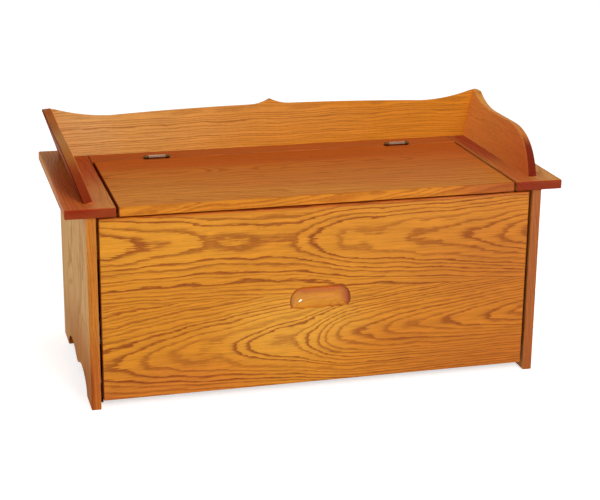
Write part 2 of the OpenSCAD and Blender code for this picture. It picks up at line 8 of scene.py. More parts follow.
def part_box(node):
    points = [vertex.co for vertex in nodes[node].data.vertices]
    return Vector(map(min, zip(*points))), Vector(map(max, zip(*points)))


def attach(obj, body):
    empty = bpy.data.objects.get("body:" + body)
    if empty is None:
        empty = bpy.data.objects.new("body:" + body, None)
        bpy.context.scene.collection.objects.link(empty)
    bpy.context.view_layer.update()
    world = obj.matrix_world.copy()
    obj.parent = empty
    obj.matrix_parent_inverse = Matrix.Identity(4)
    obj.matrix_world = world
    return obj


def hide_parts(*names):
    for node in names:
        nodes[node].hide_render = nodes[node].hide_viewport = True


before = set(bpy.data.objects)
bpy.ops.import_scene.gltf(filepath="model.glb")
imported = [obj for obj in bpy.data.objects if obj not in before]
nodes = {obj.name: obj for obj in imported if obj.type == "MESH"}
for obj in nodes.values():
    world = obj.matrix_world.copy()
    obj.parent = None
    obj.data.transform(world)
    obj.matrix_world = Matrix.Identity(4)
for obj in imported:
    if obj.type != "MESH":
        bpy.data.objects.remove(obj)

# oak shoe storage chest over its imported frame: metres, Z up, origin on the floor
scene = bpy.context.scene
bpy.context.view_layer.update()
print("frame loaded:", len(nodes), "nodes")


# camera and light

camera = {
    "place": (-0.7908, -2.9916, 1.2095),
    "yaw": 15.11,      # degrees to the right of straight ahead
    "pitch": 17.68,    # degrees down
    "roll": 0.576,
    "lens": 92.95,
}


def makeCamera():
    yaw, pitch, roll = (radians(camera[k]) for k in ("yaw", "pitch", "roll"))
    ahead = Vector((sin(yaw) * cos(pitch), cos(yaw) * cos(pitch), -sin(pitch)))
    level = Vector((cos(yaw), -sin(yaw), 0))
    upright = level.cross(ahead)
    right = level * cos(roll) + upright * sin(roll)
    up = upright * cos(roll) - level * sin(roll)
    place = Matrix((right, up, -ahead)).transposed().to_4x4()
    place.translation = camera["place"]
    made = bpy.data.objects.new("camera", bpy.data.cameras.new("camera"))
    made.data.lens = camera["lens"]
    made.data.sensor_width = 36
    made.matrix_world = place
    scene.collection.objects.link(made)
    scene.camera = made


lights = {
    # name: place, aimed at, width, power in watts, lights matt surfaces, mirrored in gloss
    "frontSoftbox": ((0.9, -4.1, 2.4), (0, 0, 0.25), 1.8, 113, True, False),
    "leftFill": ((-3.4, -0.9, 1.6), (0, 0, 0.25), 1.6, 24, True, True),
    "topSoftbox": ((0.3, 0.2, 3.2), (0, 0, 0.3), 1.8, 9, True, True),
    "lowKicker": ((1.30, -2.8, 0.21), (0, -0.22, 0.19), 0.32, 64, False, True),
}


def makeLights():
    for name, (place, target, width, power, matt, mirrored) in lights.items():
        lamp = bpy.data.lights.new(name, "AREA")
        lamp.size = width
        lamp.energy = power
        made = bpy.data.objects.new(name, lamp)
        made.location = place
        made.rotation_euler = (Vector(target) - Vector(place)).to_track_quat("-Z", "Y").to_euler()
        made.visible_camera = False
        made.visible_diffuse = matt
        made.visible_glossy = mirrored
        scene.collection.objects.link(made)


def addNode(tree, kind, inputs=None, **settings):
    made = tree.nodes.new("ShaderNode" + kind)
    for key, value in settings.items():
        setattr(made, key, value)
    for key, value in (inputs or {}).items():
        if isinstance(value, bpy.types.NodeSocket):
            tree.links.new(value, made.inputs[key])
        else:
            made.inputs[key].default_value = value
    return made


def calc(tree, operation, *values, clamp=False):
    return addNode(tree, "Math", dict(enumerate(values)), operation=operation, use_clamp=clamp).outputs[0]


def spread(tree, value, low, high, toLow=0.0, toHigh=1.0, smooth=True):
    kind = "SMOOTHSTEP" if smooth else "LINEAR"
    made = addNode(tree, "MapRange", {"Value": value, "From Min": low, "From Max": high,
                                      "To Min": toLow, "To Max": toHigh}, interpolation_type=kind)
    return made.outputs[0]


def backdropRays(tree):
    # rays that should see the white backdrop rather than the room's light
    path = addNode(tree, "LightPath")
    either = calc(tree, "MAXIMUM", path.outputs["Is Camera Ray"], path.outputs["Is Glossy Ray"])
    return calc(tree, "MAXIMUM", either, path.outputs["Is Transmission Ray"])


def makeWorld():
    world = bpy.data.worlds.new("studio")
    world.use_nodes = True
    tree = world.node_tree
    tree.nodes.clear()
    seen = backdropRays(tree)
    room = addNode(tree, "Background", {"Color": (1, 1, 1, 1), "Strength": 0.42})
    white = addNode(tree, "Background", {"Color": (1, 1, 1, 1), "Strength": 1.0})
    mix = addNode(tree, "MixShader", {0: seen, 1: room.outputs[0], 2: white.outputs[0]})
    addNode(tree, "OutputWorld", {"Surface": mix.outputs[0]})
    scene.world = world


def paintedShadeStrip(tree):
    # painted shade: the slim strip of floor that shows through the gap at the drawer front's left foot
    x, y, z = addNode(tree, "SeparateXYZ", {0: addNode(tree, "TexCoord").outputs["Object"]}).outputs
    covered = calc(tree, "MULTIPLY", spread(tree, y, -0.191, -0.185), spread(tree, y, -0.078, -0.086))
    slant = calc(tree, "MULTIPLY_ADD", y, -0.128, x)
    strip = calc(tree, "MULTIPLY", spread(tree, slant, -0.4112, -0.4100), spread(tree, slant, -0.4046, -0.4058))
    return calc(tree, "MULTIPLY", covered, strip)


def makeFloor():
    bm = bmesh.new()
    bmesh.ops.create_grid(bm, x_segments=1, y_segments=1, size=20)
    bmesh.ops.translate(bm, vec=(0, 0, -0.0004), verts=bm.verts)
    mesh = bpy.data.meshes.new("floor")
    bm.to_mesh(mesh)
    bm.free()
    material = bpy.data.materials.new("paleFloor")
    material.use_nodes = True
    tree = material.node_tree
    tree.nodes.clear()
    # the lift stops where the chest keeps the light out, and the strip is painted a near-black shade colour
    deep = paintedShadeStrip(tree)
    seen = calc(tree, "MULTIPLY", backdropRays(tree), spread(tree, deep, 0, 1, 1, 0))
    colour = addNode(tree, "Mix", {0: deep, 6: (0.9, 0.9, 0.9, 1), 7: (0.10, 0.03, 0.015, 1)}, data_type="RGBA")
    paint = addNode(tree, "BsdfDiffuse", {"Color": colour.outputs[2]})
    lift = addNode(tree, "Emission", {"Strength": calc(tree, "MULTIPLY", seen, 0.60)})
    both = addNode(tree, "AddShader", {0: paint.outputs[0], 1: lift.outputs[0]})
    addNode(tree, "OutputMaterial", {"Surface": both.outputs[0]})
    mesh.materials.append(material)
    floor = bpy.data.objects.new("floor", mesh)
    scene.collection.objects.link(floor)


makeCamera()
makeLights()
makeWorld()
makeFloor()
scene.view_settings.view_transform = "Standard"
print("camera, lights and floor")


# oak: one solid growth-ring figure, cut through by every board

def scaled(tree, vector, by):
    return addNode(tree, "VectorMath", {0: vector, 1: by}, operation="MULTIPLY").outputs[0]


def grainNoise(tree, vector, by, detail=2.0, roughness=0.5):
    made = addNode(tree, "TexNoise", {"Vector": scaled(tree, vector, by), "Scale": 1.0,
                                      "Detail": detail, "Roughness": roughness})
    return made.outputs[0]


def makeGrainGroup():
    # Place is in metres: X along the grain, Y across the board, Z into it
    group = bpy.data.node_groups.new("oakGrain", "ShaderNodeTree")
    group.interface.new_socket("Place", in_out="INPUT", socket_type="NodeSocketVector")
    for label in ("Plank", "Luck", "Heart", "Heart slope", "Depth", "Depth slope", "Depth bend",
                  "Jump", "Swing", "Ring", "Ragged"):
        group.interface.new_socket(label, in_out="INPUT", socket_type="NodeSocketFloat")
    for label in ("Band", "Fibre", "Pore", "Ray", "Tone", "Seam"):
        group.interface.new_socket(label, in_out="OUTPUT", socket_type="NodeSocketFloat")
    given = group.nodes.new("NodeGroupInput").outputs
    axes = addNode(group, "SeparateXYZ", {0: given["Place"]})
    along, across, deep = axes.outputs
    # glued-up planks, each from another tree
    plank = calc(group, "FLOOR", calc(group, "DIVIDE", across, given["Plank"]))
    luck = addNode(group, "TexWhiteNoise", {"W": plank}, noise_dimensions="1D")
    luckAxes = addNode(group, "SeparateXYZ", {0: luck.outputs["Color"]})
    luckA, luckB, luckC = luckAxes.outputs
    middle = calc(group, "MULTIPLY", calc(group, "ADD", plank, 0.5), given["Plank"])
    inPlank = calc(group, "SUBTRACT", across, middle)
    shifted = addNode(group, "CombineXYZ", {0: calc(group, "MULTIPLY_ADD", plank, 3.71, along), 1: across, 2: deep}).outputs[0]
    # distance from the tree's heart, which wanders along the board
    chance = calc(group, "MULTIPLY", calc(group, "SUBTRACT", luckA, 0.5), given["Luck"])
    heart = calc(group, "ADD", calc(group, "MULTIPLY", chance, given["Plank"]), given["Heart"])
    slope = calc(group, "ADD", calc(group, "MULTIPLY", chance, 0.12), given["Heart slope"])
    heart = calc(group, "MULTIPLY_ADD", slope, along, heart)
    sway = calc(group, "MULTIPLY", calc(group, "SUBTRACT", grainNoise(group, shifted, (3.4, 3.0, 3.0)), 0.5), given["Swing"])
    fromHeart = calc(group, "SUBTRACT", inPlank, calc(group, "ADD", heart, sway))
    drift = calc(group, "MULTIPLY", calc(group, "SUBTRACT", luckC, 0.5), calc(group, "MULTIPLY", given["Luck"], 0.16))
    drift = calc(group, "ADD", drift, given["Depth slope"])
    bend = calc(group, "MULTIPLY_ADD", given["Depth bend"], along, drift)
    jump = spread(group, along, -0.06, 0.07)    # a sudden step in the stem, midway along
    wander = calc(group, "SUBTRACT", grainNoise(group, shifted, (5.2, 1.0, 1.0), 1.5), 0.5)
    wander = calc(group, "MULTIPLY", wander, given["Swing"])
    toHeart = calc(group, "ADD", calc(group, "MULTIPLY_ADD", bend, along, deep), calc(group, "ADD", wander, given["Depth"]))
    toHeart = calc(group, "MULTIPLY_ADD", jump, given["Jump"], toHeart)
    radius = calc(group, "SQRT", calc(group, "MULTIPLY_ADD", fromHeart, fromHeart, calc(group, "MULTIPLY", toHeart, toHeart)))
    rings = calc(group, "DIVIDE", radius, given["Ring"])
    uneven = addNode(group, "TexNoise", {"W": calc(group, "MULTIPLY", rings, 0.42), "Scale": 1.0, "Detail": 1.0},
                     noise_dimensions="1D")
    rings = calc(group, "MULTIPLY_ADD", calc(group, "SUBTRACT", uneven.outputs[0], 0.5), 1.7, rings)
    rings = calc(group, "MULTIPLY_ADD", calc(group, "SUBTRACT", grainNoise(group, shifted, (13, 26, 26), 2.5), 0.5), 1.4, rings)
    ragged = grainNoise(group, shifted, (20, 380, 380), 3.0, 0.62)
    rings = calc(group, "MULTIPLY_ADD", calc(group, "SUBTRACT", ragged, 0.5), given["Ragged"], rings)
    ringNumber = calc(group, "FLOOR", rings)
    ringPart = calc(group, "FRACT", rings)
    ringSeed = calc(group, "MULTIPLY_ADD", plank, 57.3, ringNumber)
    ringLuck = addNode(group, "TexWhiteNoise", {"W": ringSeed}, noise_dimensions="1D").outputs["Value"]
    # early wood starts dark and fades into the hard late wood
    early = addNode(group, "ValToRGB", {"Fac": ringPart})
    ramp = early.color_ramp
    ramp.interpolation = "EASE"
    ramp.elements[0].position, ramp.elements[0].color = 0.0, (0.35, 0.35, 0.35, 1)
    ramp.elements[1].position, ramp.elements[1].color = 0.06, (1, 1, 1, 1)
    for place, value in ((0.2, 0.85), (0.42, 0.14), (0.6, 0.0), (0.92, 0.0), (0.97, 0.1), (1.0, 0.35)):
        step = ramp.elements.new(place)
        step.color = (value, value, value, 1)
    band = calc(group, "MULTIPLY", early.outputs[0], spread(group, ringLuck, 0, 0.8, 0.42, 1.0, smooth=False))
    streak = grainNoise(group, shifted, (11, 190, 190), 2.0, 0.6)
    hair = grainNoise(group, shifted, (7, 620, 620), 2.5, 0.6)
    fibre = calc(group, "MULTIPLY_ADD", streak, 0.55, calc(group, "MULTIPLY", hair, 0.45))
    pores = spread(group, grainNoise(group, shifted, (75, 2300, 2300), 1.0), 0.56, 0.66)
    pores = calc(group, "MULTIPLY", pores, calc(group, "MULTIPLY_ADD", band, 0.85, 0.15))
    rays = spread(group, grainNoise(group, shifted, (38, 1100, 60), 1.0), 0.62, 0.7)
    tone = calc(group, "MULTIPLY_ADD", luckB, 0.3, calc(group, "MULTIPLY", grainNoise(group, shifted, (1.6, 11, 11), 2.0), 0.7))
    seam = spread(group, calc(group, "ABSOLUTE", inPlank), calc(group, "MULTIPLY_ADD", given["Plank"], 0.5, -0.0006),
                  calc(group, "MULTIPLY", given["Plank"], 0.5))
    out = group.nodes.new("NodeGroupOutput")
    for socket, value in zip(out.inputs, (band, fibre, pores, rays, tone, seam)):
        group.links.new(value, socket)
    return group


grainGroup = makeGrainGroup()
axisOf = {"x": Vector((1, 0, 0)), "y": Vector((0, 1, 0)), "z": Vector((0, 0, 1))}

oakDefaults = {
    "late": (0.64, 0.235, 0.020),
    "early": (0.33, 0.078, 0.007),
    "stain": (0.54, 0.140, 0.012),
    "endTone": (0.42, 0.24, 0.42),
    "pore": (0.16, 0.040, 0.008),
    "plank": 0.12, "luck": 0.7, "heart": 0.0, "heartSlope": 0.0, "depth": 0.055, "depthSlope": 0.0, "depthBend": 0.0,
    "jump": 0.0, "swing": 0.03, "ring": 0.0050, "ragged": 0.36, "redder": (0, 0, 0), "red": 0.0, "seam": 0.25,
    "bands": 0.85, "stained": 0.55, "hollow": None, "edgeTone": None, "patches": (), "sides": (),
    "fine": 1.0, "endFrom": (0.2, 0.7),
    "roughness": 0.45, "specular": 0.05, "coat": 0.03, "coatRoughness": 0.16,
}


def oakMaterial(name, along, across, centre, shift=(0, 0, 0), **look):
    # along and across are object axes: the grain's way and the board's width
    look = {**oakDefaults, **look}
    along, across = (axisOf[way] if isinstance(way, str) else way for way in (along, across))
    turn = Matrix((along, across, along.cross(across)))
    material = bpy.data.materials.new(name)
    material.use_nodes = True
    tree = material.node_tree
    tree.nodes.clear()
    coords = addNode(tree, "TexCoord")
    place = addNode(tree, "Mapping", {"Vector": coords.outputs["Object"], "Rotation": turn.to_euler(),
                                      "Location": Vector(shift) - turn @ Vector(centre)})
    grain = addNode(tree, "Group", node_tree=grainGroup)
    tree.links.new(place.outputs[0], grain.inputs["Place"])
    for label, key in (("Plank", "plank"), ("Luck", "luck"), ("Heart", "heart"), ("Heart slope", "heartSlope"),
                       ("Depth", "depth"), ("Depth slope", "depthSlope"), ("Depth bend", "depthBend"),
                       ("Jump", "jump"), ("Swing", "swing"), ("Ring", "ring"), ("Ragged", "ragged")):
        value = look[key]
        if isinstance(value, tuple):    # two planks: below and above the seam
            if label == "Heart":
                upper = calc(tree, "GREATER_THAN", addNode(tree, "SeparateXYZ", {0: place.outputs[0]}).outputs[1], 0.0)
            both = addNode(tree, "Mix", {0: upper, 2: value[0], 3: value[1]})
            tree.links.new(both.outputs[0], grain.inputs[label])
        else:
            grain.inputs[label].default_value = value
    band, fibre, pore, ray, tone, seam = grain.outputs

    def mixed(kind, factor, a, b):
        made = addNode(tree, "Mix", data_type="RGBA", blend_type=kind)
        for socket, value in ((0, factor), (6, a), (7, b)):
            if isinstance(value, bpy.types.NodeSocket):
                tree.links.new(value, made.inputs[socket])
            elif isinstance(value, tuple):
                made.inputs[socket].default_value = (*value, 1)
            else:
                made.inputs[socket].default_value = value
        return made.outputs[2]

    if look["hollow"]:      # centre, half size and how deep it starts
        middle, half, start = look["hollow"]
        off = addNode(tree, "VectorMath", {0: coords.outputs["Object"], 1: middle}, operation="SUBTRACT").outputs[0]
        off = addNode(tree, "SeparateXYZ", {0: addNode(tree, "VectorMath", {0: off}, operation="ABSOLUTE").outputs[0]})
        inside = spread(tree, off.outputs[1], start, start + 0.003)
        for way in (0, 2):
            inside = calc(tree, "MULTIPLY", inside, calc(tree, "LESS_THAN", off.outputs[way], half[way]))
        wall = addNode(tree, "SeparateXYZ", {0: coords.outputs["Normal"]})
        # painted shade on the roof and the right end of the hollow; its steep end-grain walls drink more stain
        paintedShadeAndStain = calc(tree, "MAXIMUM", spread(tree, wall.outputs[2], -0.12, -0.45), spread(tree, wall.outputs[0], -0.10, -0.5))
        paintedShadeAndStain = calc(tree, "MAXIMUM", paintedShadeAndStain, spread(tree, calc(tree, "ABSOLUTE", wall.outputs[1]), 0.72, 0.45))
        # and a painted shadow along the thin lip of its lower edge
        paintedLipShadow = spread(tree, off.outputs[1], start + 0.0060, start + 0.0015)
        paintedLipShadow = calc(tree, "MULTIPLY", paintedLipShadow, spread(tree, wall.outputs[2], 0.15, 0.5))
        paintedShadeAndStain = calc(tree, "MULTIPLY", inside, calc(tree, "MAXIMUM", paintedShadeAndStain, calc(tree, "MULTIPLY", paintedLipShadow, 0.8)))
        band = calc(tree, "MULTIPLY", band, spread(tree, inside, 0, 1, 1, 0.25))
        ray = calc(tree, "MULTIPLY", ray, spread(tree, inside, 0, 1, 1, 0.2))
    towards = addNode(tree, "VectorMath", {0: coords.outputs["Object"], 1: look["redder"]}, operation="DOT_PRODUCT")
    redness = calc(tree, "ADD", towards.outputs["Value"], look["red"])
    redness = calc(tree, "MULTIPLY_ADD", spread(tree, tone, 0.35, 0.7), look["stained"], redness)
    redness = addNode(tree, "Clamp", {0: redness}).outputs[0]
    ground = mixed("MIX", redness, look["late"], look["stain"])
    colour = mixed("MIX", calc(tree, "MULTIPLY", band, look["bands"]), ground, look["early"])
    light = spread(tree, fibre, 0.3, 0.7, 1 - 0.22 * look["fine"], 1 + 0.14 * look["fine"], smooth=False)
    colour = mixed("MULTIPLY", 1.0, colour, light)
    colour = mixed("MIX", calc(tree, "MULTIPLY", pore, 0.75), colour, look["pore"])
    colour = mixed("MIX", calc(tree, "MULTIPLY", ray, 0.3), colour, look["early"])
    colour = mixed("MIX", calc(tree, "MULTIPLY", seam, look["seam"]), colour, look["pore"])
    facing = addNode(tree, "VectorMath", {0: coords.outputs["Normal"], 1: along}, operation="DOT_PRODUCT").outputs["Value"]
    ends = spread(tree, calc(tree, "ABSOLUTE", facing), *look["endFrom"])
    colour = mixed("MIX", ends, colour, mixed("MULTIPLY", 1.0, colour, look["endTone"]))
    if look["edgeTone"]:    # edges differ from the faces: partly the stain that edges drink, partly painted light where a face is painted pale with sheen or an edge painted lighter as a highlight
        flat = addNode(tree, "VectorMath", {0: coords.outputs["Normal"], 1: along.cross(across)}, operation="DOT_PRODUCT")
        rim = spread(tree, calc(tree, "ABSOLUTE", flat.outputs["Value"]), 0.95, 0.6)
        colour = mixed("MIX", rim, colour, mixed("MULTIPLY", 1.0, colour, look["edgeTone"]))
    for middle, reach, tint in look["patches"]:    # places painted lighter or darker: some are the finish's own tone, most are painted light: painted shadow, painted sheen and painted reflection
        near = addNode(tree, "VectorMath", {0: coords.outputs["Object"], 1: middle}, operation="SUBTRACT").outputs[0]
        near = addNode(tree, "VectorMath", {0: near, 1: reach}, operation="DIVIDE").outputs[0]
        near = addNode(tree, "VectorMath", {0: near}, operation="LENGTH").outputs["Value"]
        colour = mixed("MIX", spread(tree, near, 1.0, 0.25), colour, mixed("MULTIPLY", 1.0, colour, tint))
    for way, begins, full, tint in look["sides"]:    # painted light on faces that look one way: painted shade and painted highlights
        turned = addNode(tree, "VectorMath", {0: coords.outputs["Normal"], 1: way}, operation="DOT_PRODUCT").outputs["Value"]
        colour = mixed("MIX", spread(tree, turned, begins, full), colour, mixed("MULTIPLY", 1.0, colour, tint))
    coat = look["coat"]
    if look["hollow"]:
        coat = spread(tree, inside, 0, 1, coat, look["hollowCoat"])
        colour = mixed("MIX", inside, colour, mixed("MULTIPLY", 1.0, colour, (0.92, 0.80, 0.02)))
        # painted shade, with the stain of the steep walls, darkens the hollow
        colour = mixed("MIX", calc(tree, "MULTIPLY", paintedShadeAndStain, 0.8), colour, mixed("MULTIPLY", 1.0, colour, (0.78, 0.40, 0.6)))
    sunk = calc(tree, "MULTIPLY_ADD", band, 0.25, pore)
    height = calc(tree, "SUBTRACT", calc(tree, "MULTIPLY", fibre, 0.3), sunk)
    bump = addNode(tree, "Bump", {"Height": height, "Strength": 0.35, "Distance": 0.0002})
    shader = addNode(tree, "BsdfPrincipled", {
        "Base Color": colour, "Normal": bump.outputs[0],
        "Roughness": calc(tree, "MULTIPLY_ADD", calc(tree, "ADD", pore, band), 0.12, look["roughness"]),
        "Specular IOR Level": look["specular"], "Coat Weight": coat, "Coat Roughness": look["coatRoughness"]})
    addNode(tree, "OutputMaterial", {"Surface": shader.outputs[0]})
    return material


# shapes shared by the boards

def easedBoard(low, high, ease, steps=4):
    low, high = Vector(low), Vector(high)
    bm = bmesh.new()
    bmesh.ops.create_cube(bm, size=1)
    bmesh.ops.scale(bm, vec=high - low, verts=bm.verts)
    bmesh.ops.translate(bm, vec=(low + high) / 2, verts=bm.verts)
    if ease:
        bmesh.ops.bevel(bm, geom=bm.edges[:], offset=ease, offset_type="OFFSET", segments=steps,
                        profile=0.5, affect="EDGES", material=-1)
    return bm


def rod(start, end, radius, sides=40):
    start, end = Vector(start), Vector(end)
    bm = bmesh.new()
    bmesh.ops.create_cone(bm, cap_ends=True, segments=sides, radius1=radius, radius2=radius, depth=(end - start).length)
    bmesh.ops.rotate(bm, matrix=(end - start).to_track_quat("Z", "Y").to_matrix(), verts=bm.verts)
    bmesh.ops.translate(bm, vec=(start + end) / 2, verts=bm.verts)
    return bm


def looseObject(bm, name):
    mesh = bpy.data.meshes.new(name)
    bmesh.ops.recalc_face_normals(bm, faces=bm.faces)
    bm.to_mesh(mesh)
    bm.free()
    made = bpy.data.objects.new(name, mesh)
    scene.collection.objects.link(made)
    return made


def carve(bm, *tools):
    # cuts each tool's shape out of the board
    board = looseObject(bm, "board")
    cutters = [looseObject(tool, "cutter") for tool in tools]
    for cutter in cutters:
        cut = board.modifiers.new("cut", "BOOLEAN")
        cut.operation, cut.solver, cut.object = "DIFFERENCE", "EXACT", cutter
    bpy.context.view_layer.update()
    done = board.evaluated_get(bpy.context.evaluated_depsgraph_get())
    carved = bmesh.new()
    carved.from_mesh(done.to_mesh())
    for used in [board, *cutters]:
        bpy.data.objects.remove(used)
    return carved


def slab(points, thickness, ease, easedFrom=-1.0):
    # a board cut to an outline in its own X and Z, its back at Y = thickness
    bm = bmesh.new()
    loop = [bm.verts.new((x, 0, z)) for x, z in points]
    edges = [bm.edges.new(pair) for pair in zip(loop, loop[1:] + loop[:1])]
    face = bmesh.ops.edgeloop_fill(bm, edges=edges)["faces"]
    grown = bmesh.ops.extrude_face_region(bm, geom=face)["geom"]
    bmesh.ops.translate(bm, vec=(0, thickness, 0), verts=[g for g in grown if isinstance(g, bmesh.types.BMVert)])
    bmesh.ops.recalc_face_normals(bm, faces=bm.faces)
    rims = [e for e in bm.edges if abs(e.verts[0].co.y - e.verts[1].co.y) < 1e-6
            and min(v.co.z for v in e.verts) > easedFrom]
    bmesh.ops.bevel(bm, geom=rims, offset=ease, offset_type="OFFSET", segments=4, profile=0.5,
                    affect="EDGES", material=-1)
    return bm


def sliceOff(bm, point, normal):
    # cuts off what the normal points to and closes the cut
    geom = bm.verts[:] + bm.edges[:] + bm.faces[:]
    cut = bmesh.ops.bisect_plane(bm, geom=geom, dist=1e-7, plane_co=point, plane_no=normal, clear_outer=True)["geom_cut"]
    bmesh.ops.contextual_create(bm, geom=[g for g in cut if isinstance(g, bmesh.types.BMEdge)])


def addPiece(name, bm, material, body, slot, *stoodFor, sharp=38):
    bmesh.ops.remove_doubles(bm, verts=bm.verts, dist=0.000005)
    bmesh.ops.recalc_face_normals(bm, faces=bm.faces)
    mesh = bpy.data.meshes.new(name)
    bm.to_mesh(mesh)
    bm.free()
    mesh.shade_smooth()
    mesh.set_sharp_from_angle(angle=radians(sharp))
    mesh.materials.append(material)
    piece = bpy.data.objects.new(name, mesh)
    scene.collection.objects.link(piece)
    even = piece.modifiers.new("evenShading", "WEIGHTED_NORMAL")
    even.keep_sharp = True
    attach(piece, body)
    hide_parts(*stoodFor)
    return piece


# side panels: two feet and a bracket arch with a drop in its middle

sidePanel = {
    "foot": 0.072, "archTop": 0.036, "drop": 0.018, "rise": 0.072, "flat": 0.022, "step": 0.003,
    "ease": 0.0015, "groove": 0.006, "backThick": 0.006, "bottomLow": 0.046, "bottomThick": 0.0121, "grooveFront": -0.1995,
}


def panelOutline(front, rear, top):
    s = sidePanel
    middle = (front + rear) / 2
    span = (rear - front) / 2 - s["foot"]
    knee = span - s["rise"] - s["flat"]
    drop = [(knee * i / 20, s["drop"] + (s["archTop"] - s["step"] - s["drop"]) * (1 - cos(pi * i / 20)) / 2) for i in range(21)]
    rise = [(span - s["rise"] * (1 - sin(pi / 2 * i / 36)), s["archTop"] * cos(pi / 2 * i / 36)) for i in range(37)]
    half = drop + [(knee, s["archTop"])] + rise
    arch = [(middle - d, z) for d, z in reversed(half)] + [(middle + d, z) for d, z in half[1:]]
    return [(front, 0)] + arch + [(rear, 0), (rear, top), (front, top)]


def makeSidePanel(side):
    low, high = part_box(("left" if side < 0 else "right") + "_side_panel")
    bm = slab(panelOutline(low.y, high.y, high.z), high.x - low.x, sidePanel["ease"])
    inner = min(abs(low.x), abs(high.x))
    s = sidePanel
    # outline X runs to the back, so the slab is turned to face sideways
    bmesh.ops.rotate(bm, matrix=Matrix(((0, 1, 0), (1, 0, 0), (0, 0, 1))), verts=bm.verts)
    bmesh.ops.translate(bm, vec=(inner, 0, 0), verts=bm.verts)
    edge = inner + s["groove"]
    rabbet = easedBoard((inner - 0.01, high.y - s["backThick"], s["bottomLow"]), (edge, high.y + 0.01, high.z + 0.01), 0)
    grooveTop = s["bottomLow"] + s["bottomThick"]
    groove = easedBoard((inner - 0.01, s["grooveFront"], s["bottomLow"]), (edge, high.y + 0.01, grooveTop), 0)
    bm = carve(bm, rabbet, groove)
    if side < 0:
        bmesh.ops.scale(bm, vec=(-1, 1, 1), verts=bm.verts)
    return bm


sideCentre = (0, 0, 0.19)
# the left panel's face is painted pale with sheen, and painted darker low down and at its front foot where the sheen
# fades; the right panel's face is painted a little paler too, and the edges of both keep the plain colour
sideOak = {
    -1: oakMaterial("sideOakLeft", "z", "y", sideCentre, shift=(0.3, 0.02, 0.02), plank=0.145, depth=0.04,
                    late=(0.72, 0.410, 0.155), early=(0.50, 0.230, 0.070), stain=(0.50, 0.160, 0.014), bands=0.6, stained=0.25,
                    patches=(((-0.460, -0.10, 0.03), (0.012, 0.4, 0.19), (0.68, 0.44, 0.20)),
                             ((-0.460, -0.20, 0.03), (0.012, 0.12, 0.13), (0.82, 0.70, 0.55)),
                             ((-0.4475, -0.2235, 0.03), (0.02, 0.008, 0.16), (0.88, 0.70, 0.8))),
                    edgeTone=(0.81, 0.48, 0.17), endTone=(0.5, 0.3, 0.4), roughness=0.65, specular=0.05, coat=0.0),
    1: oakMaterial("sideOakRight", "z", "y", sideCentre, shift=(1.9, 0.05, 0.03), plank=0.145, depth=0.04,
                   late=(0.58, 0.235, 0.050), early=(0.40, 0.132, 0.026), stain=(0.55, 0.205, 0.039), bands=0.6,
                   edgeTone=(0.69, 0.44, 0.28), endTone=(0.5, 0.3, 0.4), roughness=0.5, specular=0.10,
                   coat=0.02, coatRoughness=0.3),
}
for side, word in ((-1, "left"), (1, "right")):
    addPiece(word + "Side", makeSidePanel(side), sideOak[side], "case", "oak_side", word + "_side_panel")
print("side panels")


# drawer front: a wide panel with a scooped pull

drawerFront = {
    "ease": 0.0025,
    "pullWide": 0.124, "pullHigh": 0.045, "pullDeep": 0.012, "pullMiddle": 0.1955,
    "topRound": 0.027, "lowRound": 0.012, "bowl": 1.6, "rings": 18,
    "lineHalf": 0.028, "lineHeight": -0.003,
}


def makeDrawerFront():
    f = drawerFront
    low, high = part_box("drawer_front")
    bm = easedBoard(low, high, f["ease"])
    face = min(bm.faces, key=lambda g: (round(g.calc_center_median().y, 5), -g.calc_area()))
    rim = list(face.edges)
    bmesh.ops.delete(bm, geom=[face], context="FACES_ONLY")
    # the pull's outline: a rectangle with round corners
    halfWide, halfHigh = f["pullWide"] / 2, f["pullHigh"] / 2
    corners = [bm.verts.new((x, low.y, f["pullMiddle"] + z)) for x, z in
               ((-halfWide, -halfHigh), (halfWide, -halfHigh), (halfWide, halfHigh), (-halfWide, halfHigh))]
    for a, b in zip(corners, corners[1:] + corners[:1]):
        bm.edges.new((a, b))
    for v, r in zip(corners, [f["lowRound"], f["lowRound"], f["topRound"], f["topRound"]]):
        bmesh.ops.bevel(bm, geom=[v], offset=r, offset_type="OFFSET", segments=14, profile=0.5, affect="VERTICES", material=-1)
    loop = [e for e in bm.edges if not e.link_faces and e not in rim]
    bmesh.ops.triangle_fill(bm, use_beauty=True, edges=rim + loop, normal=(0, -1, 0))
    inside = [g for g in bm.faces if all(abs(v.co.y - low.y) < 1e-6 for v in g.verts)
              and all(abs(v.co.x) <= halfWide + 1e-5 and abs(v.co.z - f["pullMiddle"]) <= halfHigh + 1e-5 for v in g.verts)]
    bmesh.ops.delete(bm, geom=inside, context="FACES_ONLY")
    # the bowl: each ring is drawn in towards a short level line as it goes deeper
    ring = loop
    began = {v: v.co.copy() for e in loop for v in e.verts}    # where each point's path started
    for i in range(1, f["rings"] + 1):
        inwards = 1 - i / f["rings"] if i < f["rings"] else 0.02
        deep = f["pullDeep"] * (1 - inwards ** f["bowl"]) ** (1 / f["bowl"])
        grown = bmesh.ops.extrude_edge_only(bm, edges=ring)["geom"]
        verts = [g for g in grown if isinstance(g, bmesh.types.BMVert)]
        ring = [g for g in grown if isinstance(g, bmesh.types.BMEdge) and all(v in verts for v in g.verts)]
        began = {v: next(began[e.other_vert(v)] for e in v.link_edges if e.other_vert(v) in began) for v in verts}
        for v, start in began.items():
            target = Vector((max(-f["lineHalf"], min(f["lineHalf"], start.x)), low.y, f["pullMiddle"] + f["lineHeight"]))
            v.co = target + (start - target) * inwards + Vector((0, deep, 0))
    bmesh.ops.contextual_create(bm, geom=ring)
    return bm


